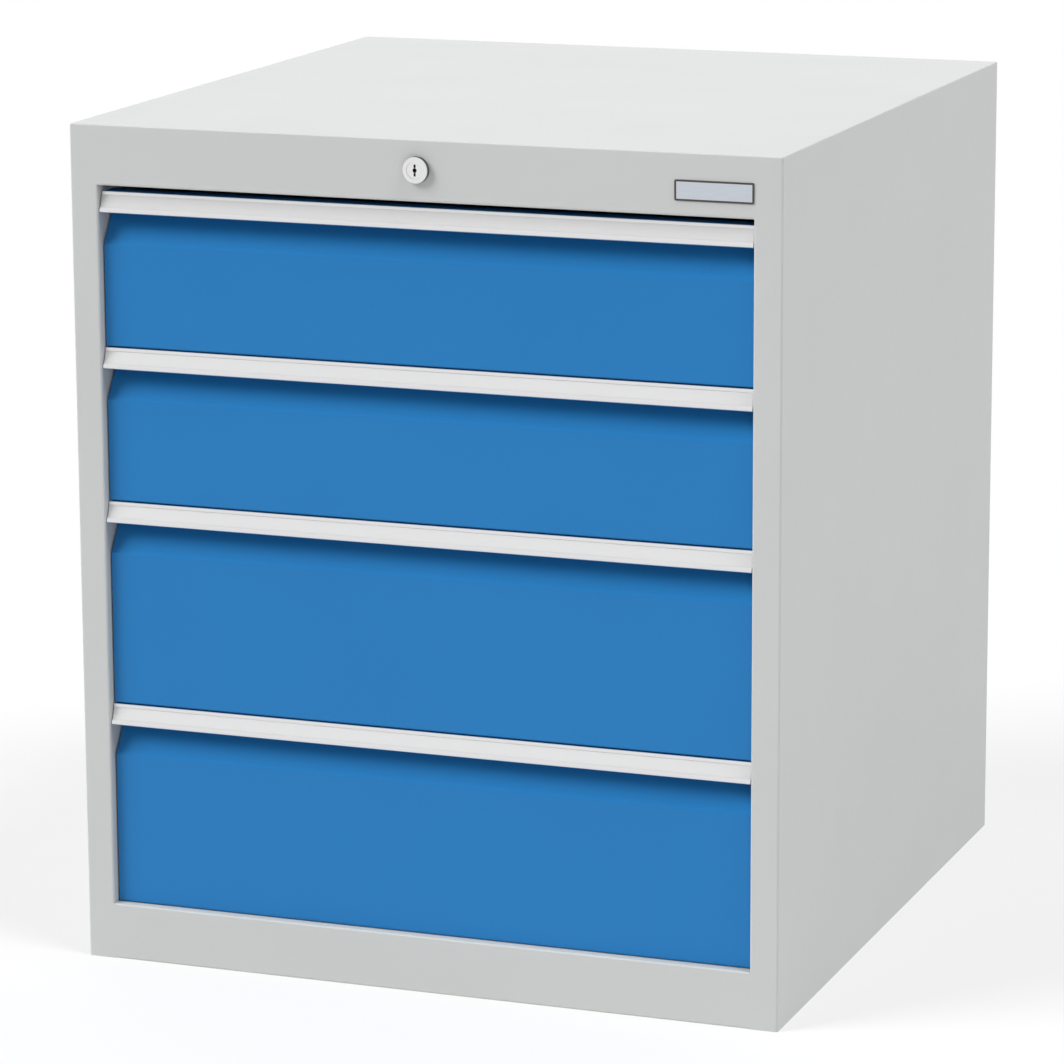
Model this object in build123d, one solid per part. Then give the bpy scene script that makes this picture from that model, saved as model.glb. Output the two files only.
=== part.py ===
from build123d import *

import os
from math import cos, hypot, radians, sin, tan

# Four-drawer workshop cabinet in folded sheet steel, lengths in millimetres, angles in degrees.
# +X is to the right of someone who faces the drawers, +Y runs to the rear and +Z is up.
# The origin is on the floor, in the middle of the footprint.

# Housing
width = 705.0
depth = 736.0
stile_width = 27.5
housing_sheet = 1.5
housing_bend = 0.5
base_height = 60.0
head_height = 59.0
jamb_return = 30.0
base_gap = 4.6
head_gap = 1.5
floor_flange = 25.0
rail_return = 22.0
rail_lip = 10.0
top_edge_radius = 1.2
rear_flange_height = 28.0
deck_flange = 16.0
rear_sheet = 1.0
rear_panel_gap = 0.5
fixing_hole_radius = 5.25
fixing_hole_inset = 100.0

# Drawer zones, each as high as its front module
upper_module = 150.0
lower_module = 200.0

# Rear rivets
rivet_radius = 2.4
rivet_hole_gap = 0.05
rivet_head_radius = 4.75
rivet_head_height = 1.1
rivet_bulb_radius = 3.3
rivet_bulb_length = 4.0
rivet_end_margin = 60.0
rivet_rows = 6
rivet_columns = 3
rivet_spacing_x = 200.0

# Uprights that carry the slides
upright_setback = 3.0
upright_width = 40.0
upright_foot = 10.0
upright_front_depth = 36.0

# Telescopic slides
slide_setback = 34.0
rear_space = 102.0
slide_rear_seat = 18.0
slide_stack = 19.8
slide_height = 46.0
slide_sheet = 1.5
slide_web_gap = 1.5
slide_bend = 0.3
slide_rise = 32.0
ball_diameter = 4.0
ball_clearance = 0.3
ball_inset = 10.0
ball_pitch = 60.0
cage_sheet = 0.7
cage_length = 280.0
cage_flange = 12.1

# Drawer trays
tray_sheet = 1.0
tray_bend = 1.0
tray_lift = 9.0
tray_headroom = 30.0
hem_height = 8.0
divider_slot_width = 2.0
divider_slot_pitch = 25.0
divider_slot_bottom = 50.0
divider_slot_top = 14.0

# Drawer fronts
front_side_gap = 1.8
front_sheet = 1.25
front_bend = 0.8
front_face_depth = 9.0
front_back_depth = 31.0
front_bottom_drop = 4.2
slant_top_drop = 22.0
slant_angle = 33.0
front_flange_drop = 5.2
front_return_width = 40.0
screw_radius = 2.5
screw_hole_radius = 2.75
screw_head_radius = 4.5
screw_head_height = 3.0
screw_length = 9.0
screw_inset = 31.0
screw_bottom_rise = 35.0
screw_top_drop = 45.0

# Grip rails and label strips, drawn along and across their sloping face
grip_side_gap = 1.0
grip_top_depth = 8.5
grip_top_drop = 4.8
grip_bottom_depth = 1.5
grip_bottom_drop = 24.1
grip_wall = 2.0
grip_finger = 1.2
grip_slot_play = 0.2
grip_finger_start = 6.0
grip_bottom_web = 3.7
grip_lip_margin = 0.5
grip_edge_radius = 0.6
grip_bead_radius = 1.3
label_channel_depth = 1.0
label_lip = 0.8
label_lip_depth = 0.4
label_border_top = 2.6
label_border_bottom = 3.5
label_thickness = 0.5
label_play = 0.15
label_end_gap = 0.7

# Lock in the head rail
lock_drop = 27.5
lock_projection = 6.0
bezel_radius = 12.4
bezel_edge_radius = 1.0
barrel_radius = 11.0
barrel_length = 24.0
lock_hole_gap = 0.1
plug_radius = 8.0
plug_running_gap = 0.1
plug_recess = 0.4
plug_tail_radius = 6.0
plug_tail_length = 3.0
keyway_height = 11.0
keyway_width = 2.0
keyway_core_radius = 2.0
keyway_depth = 8.0
nut_across_flats = 30.0
nut_thickness = 4.0

# Central locking: rod, crank, lifting bar, guides and the catches on the drawers
rod_radius = 4.0
bearing_sheet = 2.0
bearing_half_width = 15.0
bearing_foot = 25.0
bearing_drop = 10.0
bearing_space = 4.0
crank_throw = 10.0
crank_turn = 90.0
crank_thickness = 3.0
crank_hub_radius = 7.0
crank_arm_width = 12.0
crank_space = 3.0
pin_radius = 3.0
pin_reach = 2.0
fork_play = 0.6
fork_side_gap = 1.0
fork_overhang = 2.0
fork_wall = 6.0
bar_thickness = 3.0
bar_space = 16.0
bar_width = 26.0
bar_foot = 5.0
finger_length = 15.5
finger_height = 20.0
finger_drop = 2.0
catch_sheet = 2.0
catch_width = 14.0
catch_side_gap = 3.5
catch_drop = 14.0
catch_arm_rise = 4.0
hook_length = 10.0
hook_space = 2.0
catch_plate_height = 26.0
cross_sheet = 2.0
cross_height = 30.0
cross_space = 3.0
cross_rise = 45.0
cross_tab_inset = 16.0
guide_play = 0.3
guide_wall = 3.0
guide_lip = 7.0
guide_height = 20.0

# Name plate field, left blank
badge_width = 75.5
badge_height = 19.2
badge_inset = 27.1
badge_drop = 34.0
badge_thickness = 0.8
badge_corner_radius = 1.5
badge_rim = 1.7
badge_rim_height = 0.3

# Places worked out from the sizes above
modules = [upper_module, upper_module, lower_module, lower_module]
height = base_height + sum(modules) + head_height
front = -(depth + lock_projection + rivet_head_height) / 2 + lock_projection
rear = front + depth
side_face = width / 2
side_inner = side_face - housing_sheet
opening_half = side_face - stile_width
opening_top = height - head_height + head_gap
deck_top = base_height - base_gap
cover_underside = height - housing_sheet
outer_bend = housing_bend + housing_sheet
upright_face = opening_half - upright_setback
tray_half = upright_face - slide_stack
slide_length = depth - slide_setback - rear_space
slide_front = front + slide_setback
slide_rear = slide_front + slide_length
upright_front_y = front + upright_front_depth
upright_rear_y = slide_rear - slide_rear_seat
panel_half = opening_half - front_side_gap
grip_half = opening_half - grip_side_gap
tray_front = front + front_back_depth + front_sheet
lock_z = height - lock_drop
bearing_y = slide_rear + bearing_space
crank_y = bearing_y + bearing_sheet + crank_space
bar_y = slide_rear + bar_space
bar_back = bar_y + bar_thickness
bar_lift = 2 * crank_throw * sin(radians(crank_turn / 2))
pin_x = -crank_throw * cos(radians(crank_turn / 2))
bar_left = pin_x + pin_radius + fork_side_gap
bar_right = bar_left + bar_width
catch_x = bar_right + catch_side_gap + catch_width / 2
cross_y = bar_back + cross_space


class Zone:
    """The space of one drawer, numbered from the top, with the heights that its pieces share."""

    def __init__(self, number):
        self.number = number
        self.module = modules[number - 1]
        self.top = height - head_height - sum(modules[: number - 1])
        self.bottom = self.top - self.module
        self.panel_bottom = self.bottom - front_bottom_drop
        self.tray_bottom = self.bottom + tray_lift
        self.tray_top = self.tray_bottom + self.module - tray_headroom
        self.slide_z = self.tray_bottom + slide_rise
        self.catch_z = self.tray_top - catch_drop
        self.finger_top = self.catch_z - hook_length - finger_drop


zones = [Zone(number) for number in range(1, len(modules) + 1)]


def block(x0, x1, y0, y1, z0, z1):
    """Rectangular solid between two corners."""
    centre = Pos((x0 + x1) / 2, (y0 + y1) / 2, (z0 + z1) / 2)
    return centre * Box(x1 - x0, y1 - y0, z1 - z0)


def round_y(x, z, radius, y0, y1):
    """Cylinder along Y."""
    return Pos(x, (y0 + y1) / 2, z) * Rot(90, 0, 0) * Cylinder(radius, y1 - y0)


def round_z(x, y, radius, z0, z1):
    """Cylinder along Z."""
    return Pos(x, y, (z0 + z1) / 2) * Cylinder(radius, z1 - z0)


def along_x(face, x0, x1):
    """Extrude a face drawn in Y and Z from x0 to x1."""
    return extrude(Plane.YZ.offset(x0) * face, x1 - x0)


def along_y(face, y0, y1):
    """Extrude a face drawn in X and Z from y0 to y1."""
    return extrude(Plane.XZ.offset(-y1) * face, y1 - y0)


def along_z(face, z0, z1):
    """Extrude a face drawn in X and Y from z0 to z1."""
    return extrude(Plane.XY.offset(z0) * face, z1 - z0)


def outline(points, radii):
    """Closed face through points, with a corner radius at each."""
    return make_face(FilletPolyline(*points, radius=radii, close=True))


def folded(points, thickness, bend):
    """Face of a sheet folded along points, its thickness to the left of the way they run."""
    runs = list(zip(points, points[1:]))
    ways = []
    for (x0, y0), (x1, y1) in runs:
        length = hypot(x1 - x0, y1 - y0)
        ways.append(((x1 - x0) / length, (y1 - y0) / length))
    other = [(points[0][0] - thickness * ways[0][1], points[0][1] + thickness * ways[0][0])]
    near_radii = []
    far_radii = []
    for (x, y), (ax, ay), (bx, by) in zip(points[1:-1], ways, ways[1:]):
        reach = thickness / (1 + ax * bx + ay * by)
        other.append((x - reach * (ay + by), y + reach * (ax + bx)))
        turns_left = ax * by - ay * bx > 0
        near_radii.append(bend + thickness if turns_left else bend)
        far_radii.append(bend if turns_left else bend + thickness)
    end = points[-1]
    other.append((end[0] - thickness * ways[-1][1], end[1] + thickness * ways[-1][0]))
    radii = [0, *near_radii, 0, 0, *reversed(far_radii), 0]
    return outline([*points, *reversed(other)], radii)


def both_sides(right):
    """A piece on the right and its mirror image on the left, as two solids."""
    return Compound([*right.solids(), *mirror(right, about=Plane.YZ).solids()])


def rivet_places():
    """Where the rear rivets sit, as x and z: rows up both sides and along the top."""
    side_x = (side_face + opening_half) / 2
    low = rivet_end_margin
    step = (height - 2 * rivet_end_margin) / (rivet_rows - 1)
    places = [(side * side_x, low + row * step) for side in (-1, 1) for row in range(rivet_rows)]
    top_z = height - rear_flange_height / 2
    first_x = -rivet_spacing_x * (rivet_columns - 1) / 2
    places += [(first_x + column * rivet_spacing_x, top_z) for column in range(rivet_columns)]
    return places


def rivet_holes():
    """Drills for the rear rivets, long enough for every sheet they pass."""
    radius = rivet_radius + rivet_hole_gap
    reach = housing_sheet + rear_sheet + rivet_bulb_length
    return [round_y(x, z, radius, rear - reach, rear + rivet_head_height) for x, z in rivet_places()]


def side_panel():
    """Right side: wall, front stile with its jamb return, rear flange and floor flange."""
    jamb = [(opening_half, front + jamb_return)]
    wall = [(opening_half, front), (side_face, front), (side_face, rear), (opening_half, rear)]
    open_part = along_z(folded(jamb + wall, housing_sheet, housing_bend), deck_top, opening_top)
    plain = folded(wall, housing_sheet, housing_bend)
    foot = along_z(plain, 0, deck_top)
    head = along_z(plain, opening_top, cover_underside)
    flange = block(
        side_inner - floor_flange,
        side_inner,
        front + housing_sheet,
        rear - housing_sheet,
        0,
        housing_sheet,
    )
    panel = open_part + foot + head + flange
    hole_x = side_inner - floor_flange / 2
    holes = [
        round_z(hole_x, y, fixing_hole_radius, -housing_sheet, 2 * housing_sheet)
        for y in (front + fixing_hole_inset, rear - fixing_hole_inset)
    ]
    return panel - holes - rivet_holes()


def top_cover():
    """Top sheet with the head rail folded down between the stiles and a flange at the rear."""
    sheet = block(-side_face, side_face, front, rear, cover_underside, height)
    sheet = fillet(sheet.edges().filter_by(Axis.Z), outer_bend)
    sheet = fillet(sheet.faces().sort_by(Axis.Z)[-1].edges(), top_edge_radius)
    rail = folded(
        [
            (front, cover_underside),
            (front, opening_top),
            (front + rail_return, opening_top),
            (front + rail_return, opening_top + rail_lip),
        ],
        housing_sheet,
        housing_bend,
    )
    fascia = along_x(rail, -opening_half, opening_half)
    rear_flange = block(
        -opening_half,
        opening_half,
        rear - housing_sheet,
        rear,
        height - rear_flange_height,
        cover_underside,
    )
    lock_hole = round_y(0, lock_z, barrel_radius + lock_hole_gap, front, front + 2 * housing_sheet)
    return sheet + fascia + rear_flange - lock_hole - rivet_holes()


def base_pan():
    """Deck under the lowest drawer, folded down in front as the plinth rail and back on the floor."""
    plinth = folded(
        [
            (front + jamb_return, deck_top),
            (front, deck_top),
            (front, 0),
            (front + rail_return, 0),
        ],
        housing_sheet,
        housing_bend,
    )
    pan = along_x(plinth, -opening_half, opening_half)
    deck_rear = rear - housing_sheet - rear_sheet
    deck_start = front + jamb_return
    pan += block(
        -upright_face,
        upright_face,
        deck_start,
        deck_rear,
        deck_top - housing_sheet,
        deck_top,
    )
    for side in (-1, 1):
        edges = sorted((side * upright_face, side * (upright_face - housing_sheet)))
        pan += block(*edges, upright_front_y, deck_rear, deck_top - deck_flange, deck_top)
    return pan


def rear_panel():
    """Flat rear wall inside the rear flanges."""
    panel = block(
        -side_inner + rear_panel_gap,
        side_inner - rear_panel_gap,
        rear - housing_sheet - rear_sheet,
        rear - housing_sheet,
        housing_sheet,
        cover_underside - rear_panel_gap,
    )
    return panel - rivet_holes()


def rear_rivets():
    """Blind rivets through the rear flanges and the rear wall."""
    grip = housing_sheet + rear_sheet
    rivets = []
    for x, z in rivet_places():
        head = round_y(x, z, rivet_head_radius, rear, rear + rivet_head_height)
        head = fillet(head.edges().sort_by(Axis.Y)[-1], rivet_head_height / 2)
        shank = round_y(x, z, rivet_radius, rear - grip, rear)
        bulb = round_y(x, z, rivet_bulb_radius, rear - grip - rivet_bulb_length, rear - grip)
        rivets += (head + shank + bulb).solids()
    return Compound(rivets)


def uprights():
    """Four posts of hat section, which stand on the floor flanges and hold the slides."""
    foot_x = side_inner - housing_sheet
    posts = []
    for y in (upright_front_y, upright_rear_y):
        section = folded(
            [
                (foot_x, y + upright_width + upright_foot),
                (foot_x, y + upright_width),
                (upright_face, y + upright_width),
                (upright_face, y),
                (foot_x, y),
                (foot_x, y - upright_foot),
            ],
            housing_sheet,
            housing_bend,
        )
        posts += both_sides(along_z(section, housing_sheet, cover_underside)).solids()
    return Compound(posts)


def badge_plate():
    """Blank plate at the right end of the head rail, with a raised rim."""
    centre = Pos(side_face - badge_inset - badge_width / 2, height - badge_drop)
    plate = along_y(
        centre * RectangleRounded(badge_width, badge_height, badge_corner_radius),
        front - badge_thickness,
        front,
    )
    field = centre * Rectangle(badge_width - 2 * badge_rim, badge_height - 2 * badge_rim)
    field_front = front - badge_thickness
    return plate - along_y(field, field_front, field_front + badge_rim_height)


class SlideSection:
    """Heights and places across the nested slide profiles, on the right, with z from their middle."""

    outer_half = slide_height / 2
    ball_space = ball_diameter + 2 * ball_clearance
    middle_half = outer_half - slide_sheet - ball_space
    inner_half = middle_half - slide_sheet - ball_space
    outer_web = upright_face
    middle_web = outer_web - slide_sheet - slide_web_gap
    open_edge = tray_half + slide_sheet + slide_web_gap
    inner_edge = middle_web - slide_sheet - slide_web_gap
    outer_ball_z = outer_half - slide_sheet - ball_space / 2
    inner_ball_z = middle_half - slide_sheet - ball_space / 2


def channel(web, edge, half):
    """Slide profile open towards the drawer: a web on the right and two flanges."""
    return folded([(edge, -half), (web, -half), (web, half), (edge, half)], slide_sheet, slide_bend)


def slide_pair(section, zone):
    """A slide profile on both sides of a drawer."""
    right = along_y(section, slide_front, slide_rear)
    return Pos(0, 0, zone.slide_z) * both_sides(right)


def outer_slides(zone):
    """Profiles fixed to the uprights."""
    section = channel(SlideSection.outer_web, SlideSection.open_edge, SlideSection.outer_half)
    return slide_pair(section, zone)


def middle_slides(zone):
    """Profiles that travel half as far as the drawer."""
    section = channel(SlideSection.middle_web, SlideSection.open_edge, SlideSection.middle_half)
    return slide_pair(section, zone)


def inner_slides(zone):
    """Profiles on the walls of the tray, open towards the middle profile."""
    half = SlideSection.inner_half
    edge = SlideSection.inner_edge
    points = [(edge, half), (tray_half, half), (tray_half, -half), (edge, -half)]
    return slide_pair(folded(points, slide_sheet, slide_bend), zone)


def ball_cages(zone, web, ball_z):
    """Ball cages in the gap outside web, with balls above and below the profile they go round."""
    cage_web = web + (slide_web_gap + cage_sheet) / 2
    half = ball_z + cage_sheet / 2
    edge = cage_web - cage_flange
    start = (slide_front + slide_rear - cage_length) / 2
    section = folded(
        [(edge, -half), (cage_web, -half), (cage_web, half), (edge, half)],
        cage_sheet,
        slide_bend,
    )
    count = int(cage_length / ball_pitch) + 1
    first = (cage_length - (count - 1) * ball_pitch) / 2
    ball_x = web - ball_inset + slide_web_gap + slide_sheet
    radius = ball_diameter / 2
    cage = along_y(section, start, start + cage_length)
    places = [
        (start + first + index * ball_pitch, side * ball_z)
        for index in range(count)
        for side in (-1, 1)
    ]
    window = radius + ball_clearance
    cage -= [round_z(ball_x, y, window, z - half / 2, z + half / 2) for y, z in places]
    balls = [Pos(ball_x, y, z) * Sphere(radius) for y, z in places]
    right = Compound([*cage.solids(), *[solid for ball in balls for solid in ball.solids()]])
    return Pos(0, 0, zone.slide_z) * both_sides(right)


def outer_cages(zone):
    """Cages between the outer and middle profiles."""
    return ball_cages(zone, SlideSection.middle_web, SlideSection.outer_ball_z)


def inner_cages(zone):
    """Cages between the middle and inner profiles."""
    return ball_cages(zone, SlideSection.inner_edge, SlideSection.inner_ball_z)


def screw_places(zone):
    """Where the four screws of a drawer front sit, as x and z."""
    x = panel_half - screw_inset
    levels = (zone.panel_bottom + screw_bottom_rise, zone.top - screw_top_drop)
    return [(side * x, z) for side in (-1, 1) for z in levels]


def screw_holes(zone):
    """Drills for the screws of a drawer front."""
    return [
        round_y(x, z, screw_hole_radius, tray_front - screw_length, tray_front + screw_length)
        for x, z in screw_places(zone)
    ]


def rounded_tub(tub, radius):
    """A block with its upright and bottom edges rounded."""
    return fillet(tub.edges().filter_by(Axis.Z) + tub.faces().sort_by(Axis.Z)[0].edges(), radius)


def tray(zone):
    """Drawer tray: floor, hemmed side walls with slots for divider strips, front and rear wall."""
    bend = tray_bend + tray_sheet
    low = zone.tray_bottom
    top = zone.tray_top
    outside = rounded_tub(
        block(-tray_half, tray_half, tray_front, slide_rear, low, top + bend),
        bend,
    )
    inner_x = tray_half - tray_sheet
    inside = block(
        -inner_x,
        inner_x,
        tray_front + tray_sheet,
        slide_rear - tray_sheet,
        low + tray_sheet,
        top + 2 * bend,
    )
    above = block(-width, width, front, rear, top, top + 3 * bend)
    body = outside - rounded_tub(inside, tray_bend) - above
    hem_start = tray_front + bend
    hem_end = slide_rear - bend
    for side in (-1, 1):
        edges = sorted((side * (tray_half - tray_sheet / 2), side * (tray_half + tray_sheet)))
        body += block(*edges, hem_start, hem_end, top - hem_height, top)
    count = int((slide_rear - tray_front - divider_slot_pitch) / divider_slot_pitch)
    first = (tray_front + slide_rear - (count - 1) * divider_slot_pitch) / 2
    slots = []
    for index in range(count):
        y = first + index * divider_slot_pitch
        half = divider_slot_width / 2
        slots.append(
            block(
                -tray_half - tray_sheet,
                tray_half + tray_sheet,
                y - half,
                y + half,
                low + divider_slot_bottom,
                top - divider_slot_top,
            )
        )
    body = body - slots - screw_holes(zone)
    seam_x = tray_half - bend
    heights = (low, top)
    pieces = [body & block(-width, -seam_x, front, rear, *heights)]
    pieces += [body & block(seam_x, width, front, rear, *heights)]
    for y0, y1 in ((front, hem_start), (hem_start, hem_end), (hem_end, rear)):
        pieces += [body & block(-seam_x, seam_x, y0, y1, *heights)]
    return Compound([solid for piece in pieces for solid in piece.solids()])


class Grip:
    """Frame along and across the sloping face of a grip rail."""

    run = grip_top_depth - grip_bottom_depth
    fall = grip_bottom_drop - grip_top_drop
    length = hypot(run, fall)
    back = grip_wall + front_sheet

    @staticmethod
    def point(zone, along, across):
        """Y and z of a point along the face from its top edge, and outwards across it."""
        way_y = -Grip.run / Grip.length
        way_z = -Grip.fall / Grip.length
        y = front + grip_top_depth + along * way_y + across * way_z
        z = zone.top - grip_top_drop + along * way_z - across * way_y
        return (y, z)

    @staticmethod
    def along_at(across, drop):
        """How far down the face a line parallel to it is at a drop under the top of the zone."""
        shift = across * Grip.run / Grip.length
        return (drop - grip_top_drop + shift) * Grip.length / Grip.fall


def front_panel(zone):
    """Painted front: face, slope that bends back for the fingers, riser, top flange and lip."""
    slope_run = front_back_depth - front_face_depth
    slope_foot = zone.top - slant_top_drop - slope_run / tan(radians(slant_angle))
    slope_head = zone.top - slant_top_drop
    flange_z = zone.top - front_flange_drop - front_sheet
    lip_end = Grip.length - grip_bottom_web - grip_lip_margin
    lip_start = Grip.along_at(-Grip.back, front_flange_drop + front_sheet)
    face_y = front + front_face_depth
    back_y = front + front_back_depth
    bend = front_bend + front_sheet
    low = zone.panel_bottom
    skin = folded(
        [
            Grip.point(zone, lip_end, -Grip.back),
            Grip.point(zone, lip_start, -Grip.back),
            (back_y, flange_z),
            (back_y, slope_head),
            (face_y, slope_foot),
            (face_y, low),
            (back_y - front_sheet, low),
        ],
        front_sheet,
        front_bend,
    )
    panel = along_x(skin, -panel_half, panel_half)
    cheek = outline(
        [
            (back_y + front_sheet, low),
            (face_y, low),
            (face_y, slope_foot),
            (back_y, slope_head),
            (back_y + front_sheet, slope_head),
        ],
        [0, bend, bend, front_bend, 0],
    )
    cheek_inner = panel_half - front_sheet
    return_inner = panel_half - front_return_width
    for side in (-1, 1):
        panel += along_x(cheek, *sorted((side * cheek_inner, side * panel_half)))
        edges = sorted((side * return_inner, side * panel_half))
        panel += block(*edges, back_y, back_y + front_sheet, low + bend, zone.tray_top)
    return panel - screw_holes(zone)


def grip_rail(zone):
    """Extruded grip: face with a label channel, a slot that takes the lip, and a rounded foot."""
    channel_end = Grip.length - label_border_bottom
    slot_end = Grip.length - grip_bottom_web
    slot_back = Grip.back + grip_slot_play
    finger_back = slot_back + grip_finger
    corners = [
        (0, -grip_wall, grip_edge_radius),
        (0, 0, grip_edge_radius),
        (label_border_top + label_lip, 0, 0),
        (label_border_top + label_lip, -label_lip_depth, 0),
        (label_border_top, -label_lip_depth, 0),
        (label_border_top, -label_channel_depth, 0),
        (channel_end, -label_channel_depth, 0),
        (channel_end, -label_lip_depth, 0),
        (channel_end - label_lip, -label_lip_depth, 0),
        (channel_end - label_lip, 0, 0),
        (Grip.length, 0, grip_bead_radius),
        (Grip.length, -finger_back, grip_bead_radius),
        (grip_finger_start, -finger_back, 0),
        (grip_finger_start, -slot_back, 0),
        (slot_end, -slot_back, 0),
        (slot_end, -grip_wall, 0),
    ]
    points = [Grip.point(zone, along, across) for along, across, radius in corners]
    section = outline(points, [radius for along, across, radius in corners])
    return along_x(section, -grip_half, grip_half)


def label_strip(zone):
    """Label insert that lies in the channel of the grip, under its two lips."""
    low = label_border_top + label_play
    high = Grip.length - label_border_bottom - label_play
    floor = -label_channel_depth
    face = floor + label_thickness
    corners = [(low, floor), (low, face), (high, face), (high, floor)]
    section = outline([Grip.point(zone, *corner) for corner in corners], [0, 0, 0, 0])
    return along_x(section, -grip_half + label_end_gap, grip_half - label_end_gap)


def front_screws(zone):
    """Screws that hold the front to the tray, heads inside the drawer."""
    screws = []
    head_start = tray_front + tray_sheet
    for x, z in screw_places(zone):
        head = round_y(x, z, screw_head_radius, head_start, head_start + screw_head_height)
        head = fillet(head.edges().sort_by(Axis.Y)[-1], screw_head_height / 3)
        shank = round_y(x, z, screw_radius, head_start - screw_length, head_start)
        screws += (head + shank).solids()
    return Compound(screws)


def lock_catch(zone):
    """Hook on the rear of the tray, behind which the finger of the bar rises."""
    arm_top = zone.catch_z + catch_arm_rise + catch_sheet
    hook_y = bar_back + hook_space + catch_sheet
    section = folded(
        [
            (hook_y, zone.catch_z - hook_length),
            (hook_y, arm_top),
            (slide_rear, arm_top),
            (slide_rear, arm_top - catch_plate_height),
        ],
        catch_sheet,
        slide_bend,
    )
    return along_x(section, catch_x - catch_width / 2, catch_x + catch_width / 2)


def lock_barrel():
    """Round lock housing with its bezel on the head rail."""
    bezel = round_y(0, lock_z, bezel_radius, front - lock_projection, front)
    bezel = fillet(bezel.edges().sort_by(Axis.Y)[0], bezel_edge_radius)
    body = round_y(0, lock_z, barrel_radius, front, front + barrel_length)
    bore_radius = plug_radius + plug_running_gap
    bore = round_y(0, lock_z, bore_radius, front - 2 * lock_projection, front + 2 * barrel_length)
    return bezel + body - bore


def lock_nut():
    """Hexagon nut that clamps the barrel behind the head rail."""
    hexagon = RegularPolygon(nut_across_flats / 2, 6, major_radius=False)
    section = Pos(0, lock_z) * (hexagon - Circle(barrel_radius + lock_hole_gap))
    return along_y(section, front + housing_sheet, front + housing_sheet + nut_thickness)


def lock_plug():
    """Turning core of the lock, with the keyway upright in its face."""
    face = front - lock_projection + plug_recess
    back = front + barrel_length
    plug = round_y(0, lock_z, plug_radius, face, back)
    plug += round_y(0, lock_z, plug_tail_radius, back, back + plug_tail_length)
    half = keyway_width / 2
    keyway = block(
        -half,
        half,
        face - keyway_depth,
        face + keyway_depth,
        lock_z - keyway_height / 2,
        lock_z + keyway_height / 2,
    )
    core = round_y(0, lock_z, keyway_core_radius, face - keyway_depth, face + keyway_depth)
    return plug - keyway - core


def lock_rod():
    """Rod from the lock to the crank at the rear."""
    start = front + barrel_length + plug_tail_length
    return round_y(0, lock_z, rod_radius, start, crank_y)


def lock_crank():
    """Crank on the end of the rod, with the pin that lifts the bar."""
    pin_z = lock_z - crank_throw * sin(radians(crank_turn / 2))
    hub = round_y(0, lock_z, crank_hub_radius, crank_y, crank_y + crank_thickness)
    web = round_y(pin_x, pin_z, pin_radius + crank_thickness, crank_y, crank_y + crank_thickness)
    along_arm = Pos(pin_x / 2, (lock_z + pin_z) / 2) * Rot(0, 0, crank_turn / 2)
    blank = along_arm * Rectangle(crank_throw, crank_arm_width)
    arm = along_y(blank, crank_y, crank_y + crank_thickness)
    pin = round_y(pin_x, pin_z, pin_radius, crank_y, bar_back + pin_reach)
    return hub + web + arm + pin


def rod_bearing():
    """Bracket under the top that carries the rear end of the rod."""
    section = folded(
        [
            (bearing_y - bearing_foot, cover_underside - bearing_sheet),
            (bearing_y, cover_underside - bearing_sheet),
            (bearing_y, lock_z - bearing_drop),
        ],
        bearing_sheet,
        slide_bend,
    )
    bracket = along_x(section, -bearing_half_width, bearing_half_width)
    hole_radius = rod_radius + plug_running_gap
    reach = 2 * bearing_sheet
    return bracket - round_y(0, lock_z, hole_radius, bearing_y - reach, bearing_y + reach)


def lock_bar():
    """Flat bar with a fork that the crank lifts at its head, and a finger beside it for each drawer."""
    fork_z = lock_z - bar_lift / 2
    gap_half = pin_radius + fork_play
    head = fork_z + gap_half + fork_wall
    low = zones[-1].finger_top - finger_height - bar_foot
    flats = [block(bar_left, bar_right, bar_y, bar_back, low, head)]
    fork_left = -crank_throw - pin_radius - fork_overhang
    for prong_low in (fork_z + gap_half, fork_z - gap_half - fork_wall):
        flats += [block(fork_left, bar_left, bar_y, bar_back, prong_low, prong_low + fork_wall)]
    finger_end = bar_right + finger_length
    for zone in zones:
        finger_low = zone.finger_top - finger_height
        flats += [block(bar_right, finger_end, bar_y, bar_back, finger_low, zone.finger_top)]
    return Compound([solid for flat in flats for solid in flat.solids()])


def bar_guide(zone):
    """Cross member between the rear uprights, and the loop on it that guides the bar."""
    z = zone.bottom + cross_rise
    low = z - cross_height / 2
    high = z + cross_height / 2
    member = block(-upright_face, upright_face, cross_y, cross_y + cross_sheet, low, high)
    for side in (-1, 1):
        edges = sorted((side * upright_face, side * (upright_face - cross_sheet)))
        member += block(*edges, cross_y - cross_tab_inset, cross_y + cross_sheet, low, high)
    left = bar_left - guide_play
    right = bar_right + guide_play
    loop_front = bar_y - guide_play - guide_wall
    loop_low = z - guide_height / 2
    loop_high = z + guide_height / 2
    loop = block(left - guide_wall, right + guide_wall, loop_front, cross_y, loop_low, loop_high)
    passage = block(left, right, bar_y - guide_play, bar_back + guide_play, loop_low, loop_high)
    mouth = block(left + guide_lip, right - guide_lip, loop_front, bar_y, loop_low, loop_high)
    return [member, loop - passage - mouth]


def lock_bar_guides():
    """The two cross members, under the first and the third drawer."""
    guides = [piece for zone in zones[::2] for piece in bar_guide(zone)]
    return Compound([solid for guide in guides for solid in guide.solids()])


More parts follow.
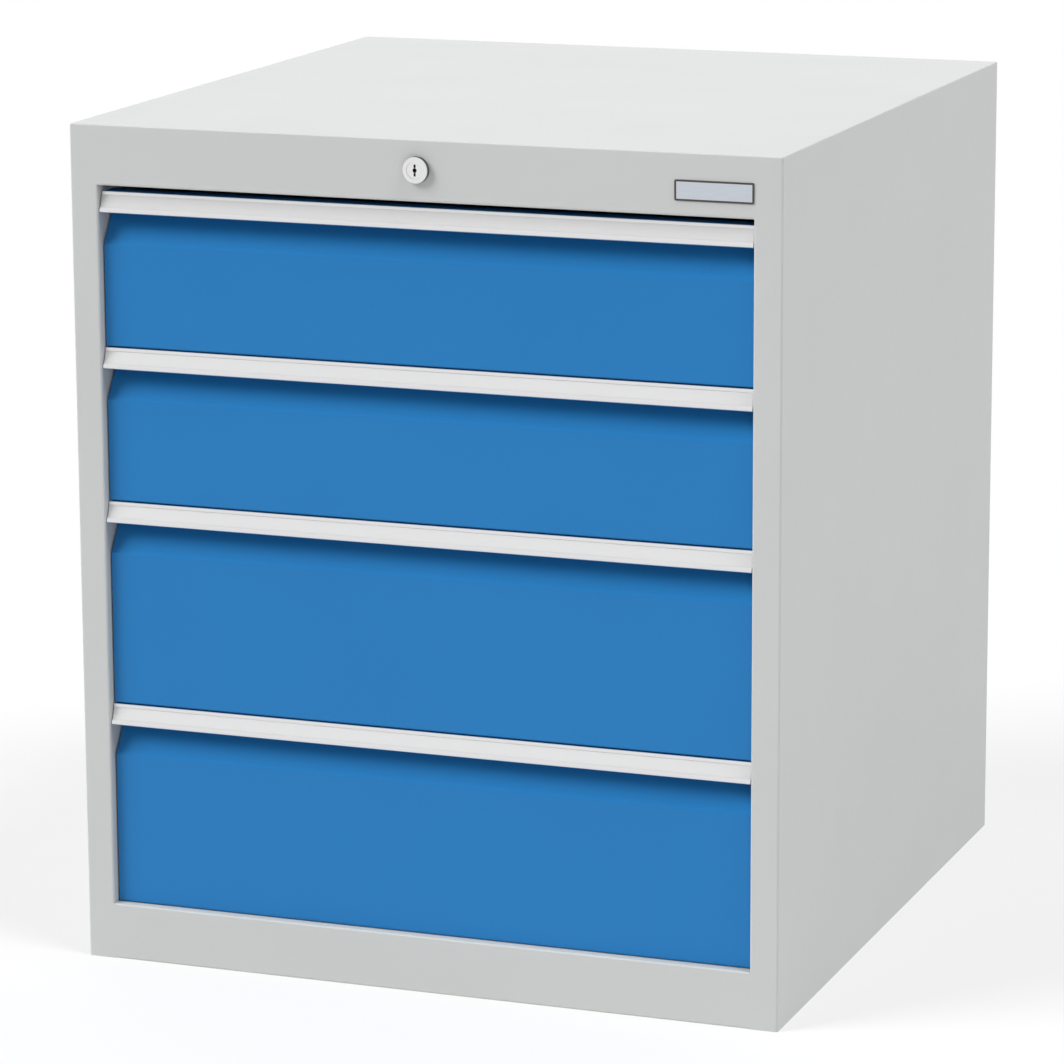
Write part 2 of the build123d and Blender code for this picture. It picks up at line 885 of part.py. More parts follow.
def build():
    """Every piece of the cabinet by name."""
    side = side_panel()
    pieces = {
        "side_panel_right": side,
        "side_panel_left": mirror(side, about=Plane.YZ),
        "top_cover": top_cover(),
        "base_pan": base_pan(),
        "rear_panel": rear_panel(),
        "rear_rivets": rear_rivets(),
        "slide_uprights": uprights(),
        "badge_plate": badge_plate(),
        "lock_barrel": lock_barrel(),
        "lock_nut": lock_nut(),
        "lock_plug": lock_plug(),
        "lock_rod": lock_rod(),
        "lock_crank": lock_crank(),
        "lock_rod_bearing": rod_bearing(),
        "lock_bar": lock_bar(),
        "lock_bar_guides": lock_bar_guides(),
    }
    for zone in zones:
        makers = {
            "drawer_tray": tray,
            "front_panel": front_panel,
            "grip_rail": grip_rail,
            "label_strip": label_strip,
            "front_screws": front_screws,
            "lock_catch": lock_catch,
            "inner_slides": inner_slides,
            "middle_slides": middle_slides,
            "outer_slides": outer_slides,
            "inner_ball_cages": inner_cages,
            "outer_ball_cages": outer_cages,
        }
        for name, maker in makers.items():
            pieces[f"{name}_{zone.number}"] = maker(zone)
    return pieces


os.makedirs("parts", exist_ok=True)
for piece_name, piece in build().items():
    export_step(piece, f"parts/{piece_name}.step")
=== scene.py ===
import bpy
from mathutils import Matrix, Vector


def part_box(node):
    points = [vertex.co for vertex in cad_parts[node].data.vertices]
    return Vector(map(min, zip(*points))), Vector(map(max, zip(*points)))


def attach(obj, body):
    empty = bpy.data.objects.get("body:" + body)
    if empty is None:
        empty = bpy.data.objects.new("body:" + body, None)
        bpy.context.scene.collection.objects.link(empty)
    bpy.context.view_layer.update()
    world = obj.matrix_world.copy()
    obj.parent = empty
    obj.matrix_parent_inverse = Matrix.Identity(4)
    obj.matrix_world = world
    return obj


bl_info = {
    "name": "Workshop drawer cabinet",
    "version": (1, 0, 0),
    "blender": (4, 5, 0),
    "location": "3D View > Sidebar > Cabinet",
    "description": "Finishes, small parts and studio for a four-drawer workshop cabinet",
    "category": "Object",
}

from math import cos, hypot, pi, radians, sin

import bmesh
import bpy
from bpy.props import FloatProperty, FloatVectorProperty, PointerProperty
from bpy.types import Operator, Panel, PropertyGroup
from mathutils import Matrix, Vector

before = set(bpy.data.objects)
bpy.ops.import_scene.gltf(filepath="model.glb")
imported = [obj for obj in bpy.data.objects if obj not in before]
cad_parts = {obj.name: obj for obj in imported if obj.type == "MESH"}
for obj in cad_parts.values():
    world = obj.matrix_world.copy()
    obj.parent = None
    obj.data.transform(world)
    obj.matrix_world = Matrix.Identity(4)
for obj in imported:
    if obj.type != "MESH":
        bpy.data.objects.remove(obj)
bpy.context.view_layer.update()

MM = 0.001
DRAWERS = (1, 2, 3, 4)
WHITE = (1.0, 1.0, 1.0, 1.0)


def from_hex(code):
    """Linear colour of an sRGB hex value."""
    parts = [int(code[i : i + 2], 16) / 255 for i in (0, 2, 4)]
    return tuple(p / 12.92 if p <= 0.04045 else ((p + 0.055) / 1.055) ** 2.4 for p in parts)


def colour_property(name, description, code):
    """A colour that the user can change, given as an sRGB hex value."""
    return FloatVectorProperty(
        name=name,
        description=description,
        subtype="COLOR",
        size=3,
        min=0.0,
        max=1.0,
        default=from_hex(code),
    )


def length_property(name, description, metres):
    """A length that the user can change."""
    return FloatProperty(
        name=name, description=description, unit="LENGTH", precision=5, min=0.0, default=metres
    )


def angle_property(name, description, degrees):
    """An angle that the user can change."""
    return FloatProperty(
        name=name, description=description, subtype="ANGLE", default=radians(degrees)
    )


def strength_property(name, description, strength):
    """A strength of light that the user can change."""
    return FloatProperty(name=name, description=description, min=0.0, default=strength)


class CabinetColours(PropertyGroup):
    """Colours of the cabinet's finishes."""

    housing: colour_property("Housing", "Light grey powder coat of the housing", "C3C5C4")
    fronts: colour_property("Drawer fronts", "Light blue powder coat of the fronts", "1F75B5")
    trays: colour_property("Drawer trays", "Light grey powder coat of the trays", "C0C2C1")
    grips: colour_property("Grip rails", "Natural anodised aluminium", "E2E2E4")
    labels: colour_property("Label strips", "White PVC label insert", "D3D3D3")
    zinc: colour_property("Zinc-plated parts", "Clear passivated zinc on steel", "B4B9BE")
    balls: colour_property("Slide balls", "Polished bearing steel", "C9CACC")
    lock: colour_property("Lock", "Satin nickel plating on zinc casting", "E4E4E4")
    # Lock flank colour is painted shade: a dark grey that stands in for the shaded side of the
    # bezel.
    lock_flank: colour_property("Lock flank", "Zinc casting beside the face of the lock", "7C7D7D")
    # Keyway colour is painted shade: a near-black that stands in for the shade deep inside the
    # keyway.
    keyway: colour_property("Keyway", "Oiled brass inside the keyway", "1E1B16")
    wafers: colour_property("Wafers", "Nickel silver wafers in the keyway", "8E8D8A")
    plate: colour_property("Name plate", "Brushed aluminium field", "C6CCD4")
    plate_rim: colour_property("Name plate rim", "Dark lacquer on the raised rim", "423B35")


class CabinetTextures(PropertyGroup):
    """Real sizes of the patterns in the finishes."""

    peel_width: length_property("Peel width", "Width of one bump of the powder coat", 2.6 * MM)
    peel_height: length_property("Peel height", "Height of a bump of the powder coat", 0.012 * MM)
    tone_width: length_property("Tone width", "Width of a patch of uneven tone", 140 * MM)
    die_line_pitch: length_property("Die line pitch", "Spacing of the lines of the die", 0.7 * MM)
    die_line_length: length_property("Die line length", "Length of a line of the die", 160 * MM)
    brush_pitch: length_property("Brush pitch", "Spacing of the brush lines", 0.35 * MM)
    brush_length: length_property("Brush length", "Length of a brush line", 12 * MM)
    spangle_width: length_property("Spangle width", "Width of a patch of the zinc plating", 9 * MM)
    roll_pitch: length_property("Roll mark pitch", "Spacing of the roll marks", 0.6 * MM)


class CabinetStudio(PropertyGroup):
    """Camera, light and floor."""

    camera_turn: angle_property("Camera turn", "Camera to the right of the front", 20.288)
    camera_rise: angle_property("Camera rise", "Camera above the horizon", 12.38)
    camera_roll: angle_property("Camera roll", "Turn of the picture about its axis", -0.216)
    camera_place: FloatVectorProperty(
        name="Camera place",
        description="Place of the camera",
        subtype="XYZ",
        unit="LENGTH",
        size=3,
        default=(1.6209, -4.4063, 1.4256),
    )
    camera_lens: FloatProperty(
        name="Focal length",
        description="Focal length on a 36 mm sensor, in millimetres",
        default=161.585,
    )
    camera_shift: FloatVectorProperty(
        name="Camera shift",
        description="Shift of the picture to the photograph's framing, as a share of its width",
        size=2,
        default=(-0.015, -0.02),
    )
    sky_front: strength_property("Sky in front", "Soft light from the front", 0.05)
    sky_rear: strength_property("Sky behind", "Soft light from behind", 0.7)
    key_strength: strength_property("Key light", "Wide lamp at the front left", 2.7)
    side_strength: strength_property("Side light", "Wide lamp on the right", 1.75)
    fill_strength: strength_property("Fill light", "Low wide lamp at the front right", 0.38)
    floor: colour_property("Floor", "Pale floor that takes the shadow", "969696")
    floor_white: strength_property("Floor white", "White that the camera sees in the floor", 0.6)
    floor_bounce: colour_property("Floor bounce", "Tone of the light off the floor", "A0A0A0")
    floor_glow: strength_property("Floor glow", "Even light that the floor throws back", 0.46)


def add_node(tree, kind, settings=None, links=None):
    """Add a node. Settings are its properties or plain inputs; links go into its inputs."""
    made = tree.nodes.new(kind)
    for name, value in (settings or {}).items():
        if isinstance(name, str) and name[0].islower():
            setattr(made, name, value)
        else:
            made.inputs[name].default_value = value
    for name, source in (links or {}).items():
        tree.links.new(source, made.inputs[name])
    return made


def new_material(name):
    """An empty material with a Principled surface, its node tree and the place in the object."""
    material = bpy.data.materials.new(name)
    material.use_nodes = True
    tree = material.node_tree
    tree.nodes.clear()
    surface = add_node(tree, "ShaderNodeBsdfPrincipled")
    add_node(tree, "ShaderNodeOutputMaterial", links={"Surface": surface.outputs[0]})
    place = add_node(tree, "ShaderNodeTexCoord")
    return material, tree, surface, place.outputs["Object"]


def noise(tree, place, width=1.0, detail=2.0, stretch=None):
    """Noise with bumps of a real width, or stretched to a real width along each axis."""
    if stretch:
        sizes = [1 / s for s in stretch]
        place = add_node(
            tree, "ShaderNodeVectorMath", {"operation": "MULTIPLY", 1: sizes}, {0: place}
        ).outputs[0]
    made = add_node(
        tree, "ShaderNodeTexNoise", {"Scale": 1 / width, "Detail": detail}, {"Vector": place}
    )
    return made.outputs["Fac"]


def spread(tree, value, low, high, start=0.3, end=0.7):
    """A noise value spread over a range."""
    settings = {"From Min": start, "From Max": end, "To Min": low, "To Max": high}
    return add_node(tree, "ShaderNodeMapRange", settings, {"Value": value}).outputs[0]


def tone(tree, value, colour, darkest, lightest):
    """A colour times an uneven tone."""
    factor = spread(tree, value, darkest, lightest)
    return add_node(
        tree, "ShaderNodeVectorMath", {"operation": "MULTIPLY", 0: tuple(colour)}, {1: factor}
    ).outputs[0]


def bump(tree, height, metres):
    """Surface relief of a real height."""
    settings = {"Distance": metres, "Strength": 1.0}
    return add_node(tree, "ShaderNodeBump", settings, {"Height": height}).outputs[0]


def feed(tree, surface, sources, metallic=0.0):
    """Link the sources to a Principled surface and say whether it is bare metal."""
    for socket, source in sources.items():
        tree.links.new(source, surface.inputs[socket])
    surface.inputs["Metallic"].default_value = metallic


def powder_coat(cabinet, name, colour, roughness):
    """Polyester powder coat on sheet steel."""
    sheen, roughness_swing = 0.3, 0.05
    material, tree, surface, place = new_material(name)
    textures = cabinet.textures
    patches = noise(tree, place, textures.tone_width)
    peel = noise(tree, place, textures.peel_width, detail=3.0)
    sources = {
        "Base Color": tone(tree, patches, colour, darkest=0.985, lightest=1.01),
        "Roughness": spread(tree, peel, roughness - roughness_swing, roughness + roughness_swing),
        "Normal": bump(tree, peel, textures.peel_height),
    }
    feed(tree, surface, sources)
    surface.inputs["Specular IOR Level"].default_value = sheen
    return material


def light_grey_powder_coat(cabinet):
    """Housing: matt light grey with a fine orange peel, so edges stay soft and nothing mirrors."""
    return powder_coat(cabinet, "light_grey_powder_coat", cabinet.colours.housing, roughness=0.5)


def light_blue_powder_coat(cabinet):
    """Fronts: the same coat in a strong light blue, which keeps its colour in the shade."""
    return powder_coat(cabinet, "light_blue_powder_coat", cabinet.colours.fronts, roughness=0.5)


def tray_powder_coat(cabinet):
    """Trays: a thinner and slightly smoother light grey coat."""
    return powder_coat(cabinet, "tray_powder_coat", cabinet.colours.trays, roughness=0.42)


def natural_anodised_aluminium(cabinet):
    """Extruded grip: silky pale metal with faint lines along its length from the die."""
    material, tree, surface, place = new_material("natural_anodised_aluminium")
    textures = cabinet.textures
    stretch = (textures.die_line_length, textures.die_line_pitch, textures.die_line_pitch)
    lines = noise(tree, place, detail=1.0, stretch=stretch)
    sources = {
        "Base Color": tone(tree, lines, cabinet.colours.grips, darkest=0.985, lightest=1.01),
        "Roughness": spread(tree, lines, low=0.34, high=0.44),
        "Normal": bump(tree, lines, metres=0.004 * MM),
    }
    feed(tree, surface, sources, metallic=1.0)
    return material


def white_label_pvc(cabinet):
    """Label insert: thin matt PVC, plain white with a trace of the grain of the film."""
    material, tree, surface, place = new_material("white_label_pvc")
    grain = noise(tree, place, width=1.8 * MM)
    sources = {
        "Base Color": tone(tree, grain, cabinet.colours.labels, darkest=0.99, lightest=1.005),
        "Roughness": spread(tree, grain, low=0.5, high=0.6),
    }
    feed(tree, surface, sources)
    return material


def zinc_plated_steel(cabinet):
    """Slides, screws and linkage: bright cool metal with cloudy patches and faint roll marks."""
    material, tree, surface, place = new_material("zinc_plated_steel")
    textures = cabinet.textures
    clouds = noise(tree, place, textures.spangle_width, detail=3.0)
    mark_length = 8 * textures.spangle_width
    stretch = (textures.roll_pitch, mark_length, textures.roll_pitch)
    marks = noise(tree, place, detail=1.0, stretch=stretch)
    sources = {
        "Base Color": tone(tree, clouds, cabinet.colours.zinc, darkest=0.92, lightest=1.04),
        "Roughness": spread(tree, clouds, low=0.26, high=0.42),
        "Normal": bump(tree, marks, metres=0.003 * MM),
    }
    feed(tree, surface, sources, metallic=1.0)
    return material


def lock_level():
    """Height of the axis of the lock."""
    low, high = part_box("lock_barrel")
    return (low.z + high.z) / 2


def satin_nickel(cabinet):
    """Lock: plated zinc casting, pale metal turned in fine rings on its face."""
    ring_pitch = 0.4 * MM
    material, tree, surface, place = new_material("satin_nickel")
    settings = {"operation": "SUBTRACT", 1: (0.0, 0.0, lock_level())}
    place = add_node(tree, "ShaderNodeVectorMath", settings, {0: place}).outputs[0]
    settings = {"operation": "MULTIPLY", 1: (1.0, 0.0, 1.0)}
    place = add_node(tree, "ShaderNodeVectorMath", settings, {0: place}).outputs[0]
    radius = add_node(tree, "ShaderNodeVectorMath", {"operation": "LENGTH"}, {0: place})
    settings = {"noise_dimensions": "1D", "Scale": 1 / ring_pitch, "Detail": 1.0}
    links = {"W": radius.outputs["Value"]}
    rings = add_node(tree, "ShaderNodeTexNoise", settings, links).outputs["Fac"]
    sources = {
        "Base Color": tone(tree, rings, cabinet.colours.lock, darkest=0.97, lightest=1.02),
        "Roughness": spread(tree, rings, low=0.24, high=0.34),
        "Normal": bump(tree, rings, metres=0.004 * MM),
    }
    feed(tree, surface, sources, metallic=1.0)
    return material


def flank_painted_shade_metal(cabinet):
    """Flank of the lock: a duller, rougher metal whose dark colour is painted shade, standing in
    for the shaded side of the bezel.
    """
    material, tree, surface, place = new_material("flank_painted_shade_metal")
    grain = noise(tree, place, width=0.5 * MM)
    sources = {
        "Base Color": tone(tree, grain, cabinet.colours.lock_flank, darkest=0.9, lightest=1.05),
        "Roughness": spread(tree, grain, low=0.42, high=0.55),
    }
    feed(tree, surface, sources, metallic=1.0)
    return material


def keyway_painted_shade(cabinet):
    """Walls of the keyway: a near-black colour that is painted shade, standing in for the shade
    deep inside the keyway, with random patches in it.
    """
    material, tree, surface, place = new_material("keyway_painted_shade")
    film = noise(tree, place, width=0.8 * MM)
    sources = {
        "Base Color": tone(tree, film, cabinet.colours.keyway, darkest=0.7, lightest=1.3),
        "Roughness": spread(tree, film, low=0.45, high=0.6),
    }
    feed(tree, surface, sources)
    return material


def nickel_silver(cabinet):
    """Wafers of the lock: stamped nickel silver, rubbed bright where the key passes."""
    material, tree, surface, place = new_material("nickel_silver")
    wear = noise(tree, place, width=0.4 * MM)
    sources = {
        "Base Color": tone(tree, wear, cabinet.colours.wafers, darkest=0.85, lightest=1.1),
        "Roughness": spread(tree, wear, low=0.35, high=0.5),
    }
    feed(tree, surface, sources, metallic=1.0)
    return material


def polished_bearing_steel(cabinet):
    """Slide balls: hard mirror finish with a film of grease that blurs it a little."""
    material, tree, surface, place = new_material("polished_bearing_steel")
    film = noise(tree, place, width=1.5 * MM)
    sources = {
        "Base Color": tone(tree, film, cabinet.colours.balls, darkest=0.95, lightest=1.02),
        "Roughness": spread(tree, film, low=0.08, high=0.18),
    }
    feed(tree, surface, sources, metallic=1.0)
    return material


def brushed_aluminium(cabinet):
    """Field of the name plate: pale cool metal brushed along its length."""
    material, tree, surface, place = new_material("brushed_aluminium")
    textures = cabinet.textures
    stretch = (textures.brush_length, textures.brush_pitch, textures.brush_pitch)
    lines = noise(tree, place, detail=1.0, stretch=stretch)
    sources = {
        "Base Color": tone(tree, lines, cabinet.colours.plate, darkest=0.95, lightest=1.04),
        "Roughness": spread(tree, lines, low=0.3, high=0.42),
        "Normal": bump(tree, lines, metres=0.003 * MM),
    }
    feed(tree, surface, sources, metallic=1.0)
    return material


def dark_rim_lacquer(cabinet):
    """Rim of the name plate: dark baked lacquer, half matt."""
    material, tree, surface, place = new_material("dark_rim_lacquer")
    grain = noise(tree, place, width=0.8 * MM)
    sources = {
        "Base Color": tone(tree, grain, cabinet.colours.plate_rim, darkest=0.85, lightest=1.1),
        "Roughness": spread(tree, grain, low=0.35, high=0.45),
    }
    feed(tree, surface, sources)
    return material


def material_named(name, maker):
    """The material of that name, made on first use from the scene's settings."""
    return bpy.data.materials.get(name) or maker(bpy.context.scene.cabinet)


def coat(nodes, maker):
    """Give frame nodes one finish."""
    for name in nodes:
        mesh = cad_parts[name].data
        mesh.materials.clear()
        mesh.materials.append(material_named(maker.__name__, maker))
        mesh.polygons.foreach_set("material_index", [0] * len(mesh.polygons))


def finish_faces(node, maker, chosen):
    """Give the faces that a test picks out a second finish."""
    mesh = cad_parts[node].data
    mesh.materials.append(material_named(maker.__name__, maker))
    for face in mesh.polygons:
        if chosen(face):
            face.material_index = len(mesh.materials) - 1


def add_piece(name, shape, maker, body):
    """Make an object from a shape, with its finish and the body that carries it."""
    bmesh.ops.recalc_face_normals(shape, faces=shape.faces)
    mesh = bpy.data.meshes.new(name)
    shape.to_mesh(mesh)
    shape.free()
    piece = bpy.data.objects.new(name, mesh)
    bpy.context.scene.collection.objects.link(piece)
    mesh.materials.append(material_named(maker.__name__, maker))
    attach(piece, body)


def add_block(shape, low, high, edge):
    """Add a block between two corners, its edges broken by a small bevel."""
    middle = (Vector(low) + Vector(high)) / 2
    size = Vector(high) - Vector(low)
    place = Matrix.Translation(middle) @ Matrix.Diagonal((*size, 1.0))
    made = bmesh.ops.create_cube(shape, size=1.0, matrix=place)
    edges = {e for vertex in made["verts"] for e in vertex.link_edges}
    bmesh.ops.bevel(shape, geom=list(edges), offset=edge, segments=2, affect="EDGES", profile=0.5)


def add_dome(shape, foot, side, radius, height, segments=24, rings=5):
    """Add a low closed dome that stands on a wall and points to one side along X."""
    turn = 2 * pi / segments
    loops = []
    for ring in range(rings):
        angle = ring / rings * pi / 2
        x, reach = foot[0] + side * height * sin(angle), radius * cos(angle)
        loop = []
        for k in range(segments):
            y, z = foot[1] + reach * cos(k * turn), foot[2] + reach * sin(k * turn)
            loop.append(shape.verts.new((x, y, z)))
        loops.append(loop)
    top = shape.verts.new((foot[0] + side * height, foot[1], foot[2]))
    shape.faces.new(loops[0])
    for k in range(segments):
        after = (k + 1) % segments
        for lower, upper in zip(loops, loops[1:]):
            shape.faces.new((lower[k], lower[after], upper[after], upper[k])).smooth = True
        shape.faces.new((loops[-1][k], loops[-1][after], top)).smooth = True


def numbered(*names):
    """The node names of all four drawers."""
    return [f"{name}_{number}" for name in names for number in DRAWERS]


class CABINET_OT_housing(Operator):
    """Finish the folded sheets of the housing and its rear rivets."""

    bl_idname = "cabinet.housing"
    bl_label = "Housing"

    def execute(self, context):
        sheets = [
            "side_panel_left",
            "side_panel_right",
            "top_cover",
            "base_pan",
            "rear_panel",
            "slide_uprights",
            "lock_bar_guides",
        ]
        coat(sheets, light_grey_powder_coat)
        coat(["rear_rivets"], zinc_plated_steel)
        return {"FINISHED"}


class CABINET_OT_fronts(Operator):
    """Finish the four drawer fronts with their grip rails, label strips and screws."""

    bl_idname = "cabinet.fronts"
    bl_label = "Drawer fronts"

    def execute(self, context):
        coat(numbered("front_panel"), light_blue_powder_coat)
        coat(numbered("grip_rail"), natural_anodised_aluminium)
        coat(numbered("label_strip"), white_label_pvc)
        coat(numbered("front_screws"), zinc_plated_steel)
        return {"FINISHED"}


class CABINET_OT_trays(Operator):
    """Finish the drawer trays and the hooks behind them, and rivet the slides on."""

    bl_idname = "cabinet.trays"
    bl_label = "Drawer trays"

    def execute(self, context):
        coat(numbered("drawer_tray"), tray_powder_coat)
        coat(numbered("lock_catch"), zinc_plated_steel)
        for number in DRAWERS:
            self.rivets(number)
        return {"FINISHED"}

    def rivets(self, number):
        """Low rivet heads inside the tray, which hold its slides."""
        wall_and_hem = 2 * MM
        end_margin, count = 40 * MM, 4
        radius, height = 3.6 * MM, 0.7 * MM
        low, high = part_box(f"inner_slides_{number}")
        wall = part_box(f"drawer_tray_{number}")[1].x - wall_and_hem
        step = (high.y - low.y - 2 * end_margin) / (count - 1)
        shape = bmesh.new()
        for side in (-1, 1):
            for index in range(count):
                foot = (side * wall, low.y + end_margin + index * step, (low.z + high.z) / 2)
                add_dome(shape, foot, -side, radius, height)
        name, body = f"slide_rivets_{number}", f"drawer_{number}"
        add_piece(name, shape, zinc_plated_steel, body)


class CABINET_OT_slides(Operator):
    """Finish the telescopic slides, their cages and balls."""

    bl_idname = "cabinet.slides"
    bl_label = "Slides"

    def execute(self, context):
        coat(numbered("outer_slides", "middle_slides", "inner_slides"), zinc_plated_steel)
        cages = numbered("outer_ball_cages", "inner_ball_cages")
        coat(cages, zinc_plated_steel)
        for cage in cages:
            balls = self.ball_faces(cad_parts[cage].data)
            finish_faces(cage, polished_bearing_steel, lambda face: face.index in balls)
        return {"FINISHED"}

    def ball_faces(self, mesh):
        """Faces of the separate solids in a cage node that are no wider than a ball."""
        ball_width = 4.2 * MM
        shape = bmesh.new()
        shape.from_mesh(mesh)
        found, seen = set(), set()
        for start in shape.faces:
            if start.index in seen:
                continue
            solid, queue = [], [start]
            seen.add(start.index)
            while queue:
                face = queue.pop()
                solid.append(face)
                for edge in face.edges:
                    for other in edge.link_faces:
                        if other.index not in seen:
                            seen.add(other.index)
                            queue.append(other)
            along = [vertex.co.y for face in solid for vertex in face.verts]
            if max(along) - min(along) < ball_width:
                found.update(face.index for face in solid)
        shape.free()
        return found


class CABINET_OT_lock(Operator):
    """Finish the cylinder lock and the linkage behind it."""

    bl_idname = "cabinet.lock"
    bl_label = "Lock"

    def execute(self, context):
        linkage = ["lock_nut", "lock_rod", "lock_crank", "lock_rod_bearing", "lock_bar"]
        coat(["lock_barrel", "lock_plug"], satin_nickel)
        coat(linkage, zinc_plated_steel)
        level = lock_level()
        self.flank(level)
        self.keyway(level)
        self.wafers(level)
        return {"FINISHED"}

    def from_axis(self, face, level):
        """Distance of a face from the axis of the lock, which lies at that level."""
        return hypot(face.center.x, face.center.z - level)

    def flank(self, level):
        """Give the flank of the bezel a dark, duller metal whose colour is painted shade."""
        rim_margin, tilt_limit = 0.3 * MM, 0.3
        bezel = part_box("lock_barrel")[1].x - rim_margin
        finish_faces(
            "lock_barrel",
            flank_painted_shade_metal,
            lambda face: abs(face.normal.y) < tilt_limit and self.from_axis(face, level) > bezel,
        )

    def keyway(self, level):
        """Paint the shade deep in the keyway onto its walls as a near-black colour."""
        core_wall, face_depth = 1.5 * MM, 0.05 * MM
        low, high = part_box("lock_plug")
        core, front = high.x - core_wall, low.y + face_depth
        finish_faces(
            "lock_plug",
            keyway_painted_shade,
            lambda face: face.center.y > front and self.from_axis(face, level) < core,
        )

    def wafers(self, level):
        """Edges of the wafers that show in the upper and the lower slot of the keyway."""
        rises, depth = (2.1 * MM, -2.5 * MM), 0.9 * MM
        half = (1.05 * MM, 0.3 * MM, 0.45 * MM)
        bevel = 0.1 * MM
        shape = bmesh.new()
        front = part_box("lock_plug")[0].y
        for rise in rises:
            middle = (0.0, front + depth, level + rise)
            corners = [[m + side * h for m, h in zip(middle, half)] for side in (-1, 1)]
            add_block(shape, *corners, bevel)
        add_piece("lock_wafers", shape, nickel_silver, "lock_core")


class CABINET_OT_name_plate(Operator):
    """Finish the blank name plate: dark rim and brushed field."""

    bl_idname = "cabinet.name_plate"
    bl_label = "Name plate"

    def execute(self, context):
        rim_step, facing = 0.1 * MM, 0.9
        coat(["badge_plate"], dark_rim_lacquer)
        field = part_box("badge_plate")[0].y + rim_step
        finish_faces(
            "badge_plate",
            brushed_aluminium,
            lambda face: face.normal.y < -facing and face.center.y > field,
        )
        return {"FINISHED"}


def wide_lamp(name, turn, rise, width, strength):
    """A far lamp as wide as a softbox close by, which lights evenly and shows in no reflection."""
    light = bpy.data.lights.new(name, "SUN")
    light.angle = radians(width)
    light.energy = strength
    lamp = bpy.data.objects.new(name, light)
    turn, rise = radians(turn), radians(rise)
    source = Vector((sin(turn) * cos(rise), -cos(turn) * cos(rise), sin(rise)))
    lamp.rotation_euler = source.to_track_quat("Z", "Y").to_euler()
    lamp.visible_glossy = False
    bpy.context.scene.collection.objects.link(lamp)


def direct_view(tree):
    """1 for rays from the camera, a mirror or glass, 0 for light that spreads."""
    rays = add_node(tree, "ShaderNodeLightPath")
    total = rays.outputs["Is Camera Ray"]
    for name in ("Is Glossy Ray", "Is Transmission Ray"):
        total = add_node(
            tree, "ShaderNodeMath", {"operation": "MAXIMUM"}, {0: total, 1: rays.outputs[name]}
        ).outputs[0]
    return total


def mix(tree, share, first, second):
    """Two shaders mixed by the share of the second."""
    links = {0: share, 1: first.outputs[0], 2: second.outputs[0]}
    return add_node(tree, "ShaderNodeMixShader", links=links)


def add_up(tree, first, second):
    """Two shaders added up."""
    return add_node(tree, "ShaderNodeAddShader", links={0: first.outputs[0], 1: second.outputs[0]})


def make_sky(studio):
    """Soft light from all around, weaker in front than behind, seen as plain white."""
    front_end, rear_start = -0.2, 0.4
    world = bpy.data.worlds.new("studio_sky")
    bpy.context.scene.world = world
    world.use_nodes = True
    tree = world.node_tree
    tree.nodes.clear()
    seen = direct_view(tree)
    way = add_node(tree, "ShaderNodeTexCoord").outputs["Generated"]
    rearward = add_node(tree, "ShaderNodeSeparateXYZ", links={"Vector": way}).outputs["Y"]
    settings = {
        "interpolation_type": "SMOOTHSTEP",
        "From Min": front_end,
        "From Max": rear_start,
        "To Min": studio.sky_front,
        "To Max": studio.sky_rear,
    }
    strength = add_node(tree, "ShaderNodeMapRange", settings, {"Value": rearward}).outputs[0]
    light = add_node(tree, "ShaderNodeBackground", {"Color": WHITE}, {"Strength": strength})
    white = add_node(tree, "ShaderNodeBackground", {"Color": WHITE, "Strength": 1.0})
    mixed = mix(tree, seen, light, white)
    add_node(tree, "ShaderNodeOutputWorld", links={"Surface": mixed.outputs[0]})


def make_floor(studio):
    """Pale matt floor that fades to the white of the backdrop away from the cabinet."""
    half, fade_start, fade_end = 12.0, 1.1, 2.6
    mesh = bpy.data.meshes.new("studio_floor")
    corners = [(-half, -half, 0.0), (half, -half, 0.0), (half, half, 0.0), (-half, half, 0.0)]
    mesh.from_pydata(corners, [], [(0, 1, 2, 3)])
    floor = bpy.data.objects.new("studio_floor", mesh)
    bpy.context.scene.collection.objects.link(floor)
    material = bpy.data.materials.new("studio_floor_paper")
    material.use_nodes = True
    tree = material.node_tree
    tree.nodes.clear()
    seen = direct_view(tree)
    place = add_node(tree, "ShaderNodeTexCoord").outputs["Object"]
    distance = add_node(tree, "ShaderNodeVectorMath", {"operation": "LENGTH"}, {0: place})
    fade = spread(tree, distance.outputs["Value"], 0.0, 1.0, fade_start, fade_end)
    shade = add_node(tree, "ShaderNodeBsdfDiffuse", {"Color": (*studio.floor, 1.0)})
    white = add_node(tree, "ShaderNodeEmission", {"Strength": studio.floor_white})
    backdrop = add_node(tree, "ShaderNodeEmission", {"Strength": 1.0})
    shown = mix(tree, fade, add_up(tree, shade, white), backdrop)
    paper = add_node(tree, "ShaderNodeBsdfDiffuse", {"Color": (*studio.floor_bounce, 1.0)})
    glow = add_node(tree, "ShaderNodeEmission", {"Strength": studio.floor_glow})
    mixed = mix(tree, seen, add_up(tree, paper, glow), shown)
    add_node(tree, "ShaderNodeOutputMaterial", links={"Surface": mixed.outputs[0]})
    mesh.materials.append(material)


def make_camera(studio):
    """Camera at the photograph's viewing angle."""
    data = bpy.data.cameras.new("camera")
    data.lens = studio.camera_lens
    data.sensor_width = 36.0
    data.shift_x, data.shift_y = studio.camera_shift
    turn, rise, roll = studio.camera_turn, studio.camera_rise, studio.camera_roll
    back = Vector((sin(turn) * cos(rise), -cos(turn) * cos(rise), sin(rise)))
    level = Vector((cos(turn), sin(turn), 0.0))
    upright = back.cross(level)
    right = cos(roll) * level + sin(roll) * upright
    up = -sin(roll) * level + cos(roll) * upright
    camera = bpy.data.objects.new("camera", data)
    facing = Matrix((right, up, back)).transposed().to_4x4()
    camera.matrix_world = Matrix.Translation(studio.camera_place) @ facing
    bpy.context.scene.collection.objects.link(camera)
    bpy.context.scene.camera = camera


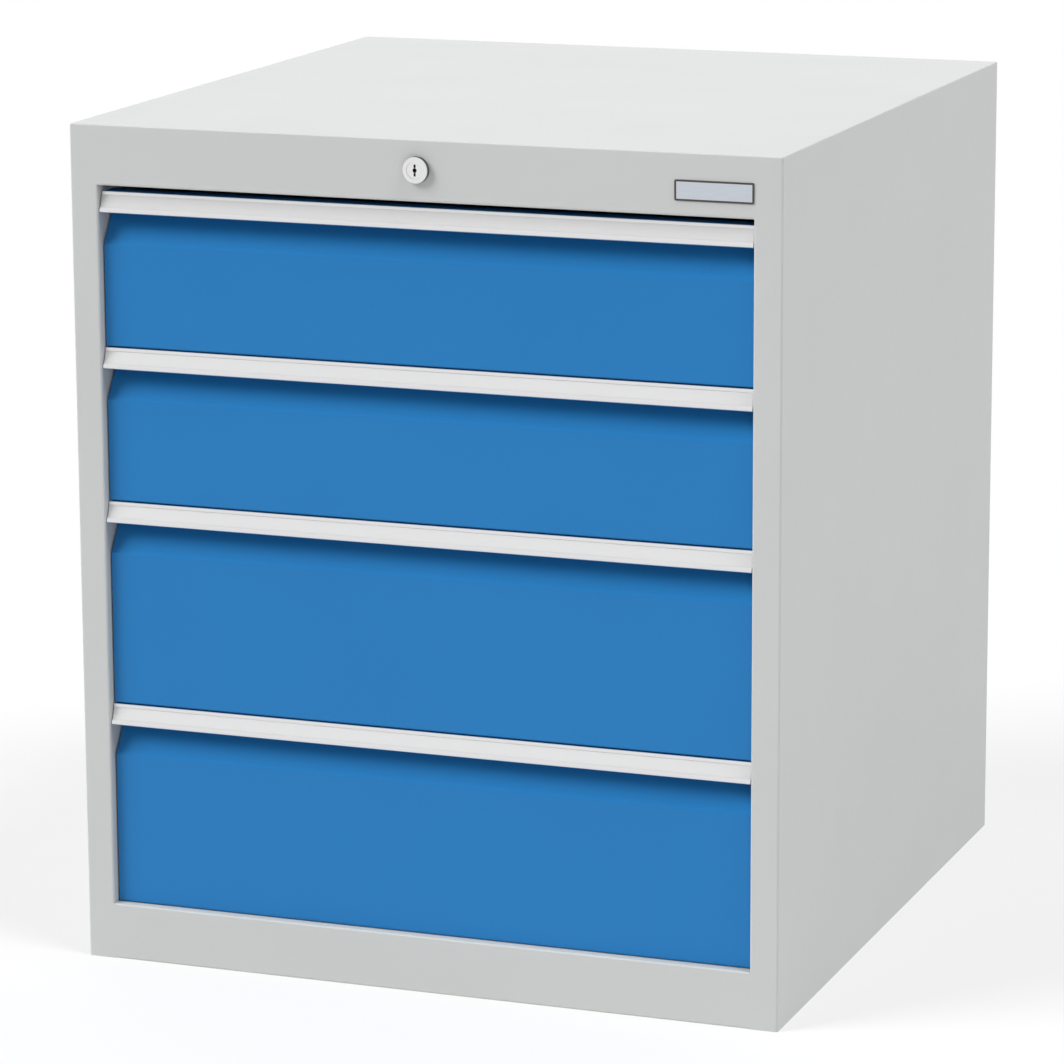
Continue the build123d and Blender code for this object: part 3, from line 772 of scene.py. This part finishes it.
class CABINET_OT_studio(Operator):
    """Build the floor, the light and the camera."""

    bl_idname = "cabinet.studio"
    bl_label = "Studio"

    def execute(self, context):
        studio = context.scene.cabinet.studio
        make_sky(studio)
        make_floor(studio)
        wide_lamp("key_light", turn=-54, rise=37, width=34, strength=studio.key_strength)
        wide_lamp("side_light", turn=78, rise=60, width=24, strength=studio.side_strength)
        wide_lamp("fill_light", turn=32, rise=14, width=40, strength=studio.fill_strength)
        make_camera(studio)
        context.scene.view_settings.view_transform = "Standard"
        return {"FINISHED"}


class CabinetSettings(PropertyGroup):
    """All settings of the cabinet."""

    colours: PointerProperty(type=CabinetColours)
    textures: PointerProperty(type=CabinetTextures)
    studio: PointerProperty(type=CabinetStudio)


OPERATORS = (
    CABINET_OT_housing,
    CABINET_OT_fronts,
    CABINET_OT_trays,
    CABINET_OT_slides,
    CABINET_OT_lock,
    CABINET_OT_name_plate,
    CABINET_OT_studio,
)


class VIEW3D_PT_cabinet(Panel):
    """Settings and steps of the cabinet in the sidebar."""

    bl_space_type = "VIEW_3D"
    bl_region_type = "UI"
    bl_category = "Cabinet"
    bl_label = "Workshop drawer cabinet"

    def draw(self, context):
        settings = context.scene.cabinet
        for group in (settings.colours, settings.textures, settings.studio):
            box = self.layout.box()
            for name in group.__annotations__:
                box.prop(group, name)
        for operator in OPERATORS:
            self.layout.operator(operator.bl_idname)


CLASSES = (
    CabinetColours,
    CabinetTextures,
    CabinetStudio,
    CabinetSettings,
    *OPERATORS,
    VIEW3D_PT_cabinet,
)


def register():
    for kind in CLASSES:
        bpy.utils.register_class(kind)
    bpy.types.Scene.cabinet = PointerProperty(type=CabinetSettings)


def unregister():
    del bpy.types.Scene.cabinet
    for kind in reversed(CLASSES):
        bpy.utils.unregister_class(kind)


def main():
    register()
    bpy.ops.cabinet.housing()
    bpy.ops.cabinet.fronts()
    bpy.ops.cabinet.trays()
    bpy.ops.cabinet.slides()
    bpy.ops.cabinet.lock()
    bpy.ops.cabinet.name_plate()
    bpy.ops.cabinet.studio()


if __name__ == "__main__":
    main()
